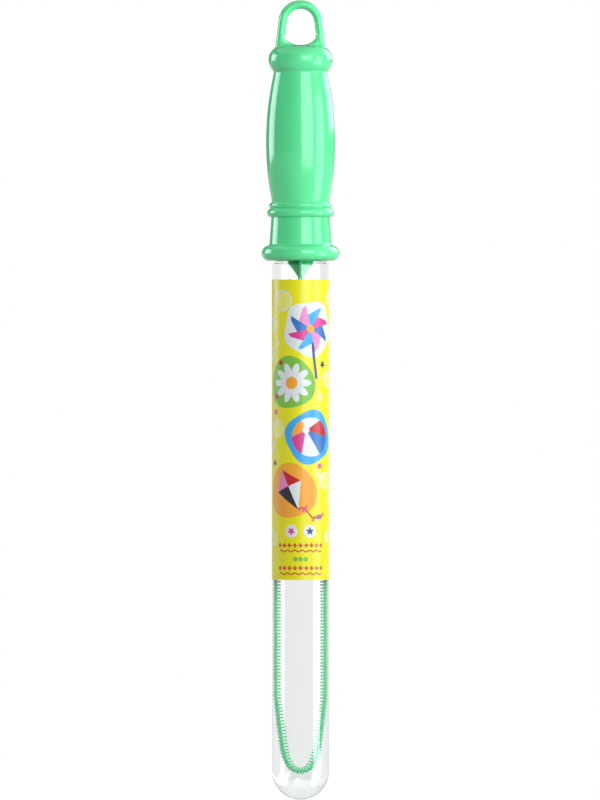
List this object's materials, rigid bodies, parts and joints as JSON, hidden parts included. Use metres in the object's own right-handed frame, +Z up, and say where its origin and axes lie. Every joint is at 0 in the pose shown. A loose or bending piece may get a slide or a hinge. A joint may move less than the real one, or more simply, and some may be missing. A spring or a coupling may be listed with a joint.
{
  "type": "bubble wand",
  "caption": "Slim bubble wand: a clear round-footed tube with a printed label and a screw-on green handle with a hanging eye, which carries a long ribbed loop inside the tube.",
  "frame": {"origin": "lowest point of the tube's round foot, on the tube's axis", "axes": "+Z up along the tube from its foot to the hanging eye; the loop and the eye lie in the XZ plane, and -Y faces the viewer"},
  "size_m": [0.036, 0.036, 0.37],
  "materials": {
    "clear_tube": "clear blow-moulded PET",
    "printed_film": "printed and glazed film",
    "foam": "closed-cell foam",
    "wand_plastic": "moulded polypropylene",
    "handle_plastic": "moulded polypropylene"
  },
  "bodies": {
    "tube": {"tube": "clear_tube", "label": "printed_film"},
    "seal": {"seal_washer": "foam"},
    "wand": {"wand": "wand_plastic"},
    "handle": {"screw_cap": "handle_plastic", "grip": "handle_plastic", "hanging_eye": "handle_plastic"}
  },
  "joints": [
    {"name": "withdraw", "type": "slide", "parent": "tube", "child": "seal", "axis": [0, 0, 1], "range_m": [0, 0.26]},
    {"name": "thread_advance", "type": "slide", "parent": "seal", "child": "wand", "axis": [0, 0, 1], "range_m": [0, 0.006]},
    {"name": "unscrew", "type": "hinge", "parent": "wand", "child": "handle", "pos_m": [0, 0, 0.264], "axis": [0, 0, 1], "range_deg": [0, 540]}
  ],
  "couplings": [
    {"joint": "thread_advance", "follows": "unscrew", "m_per_rad": 0.0006366}
  ]
}
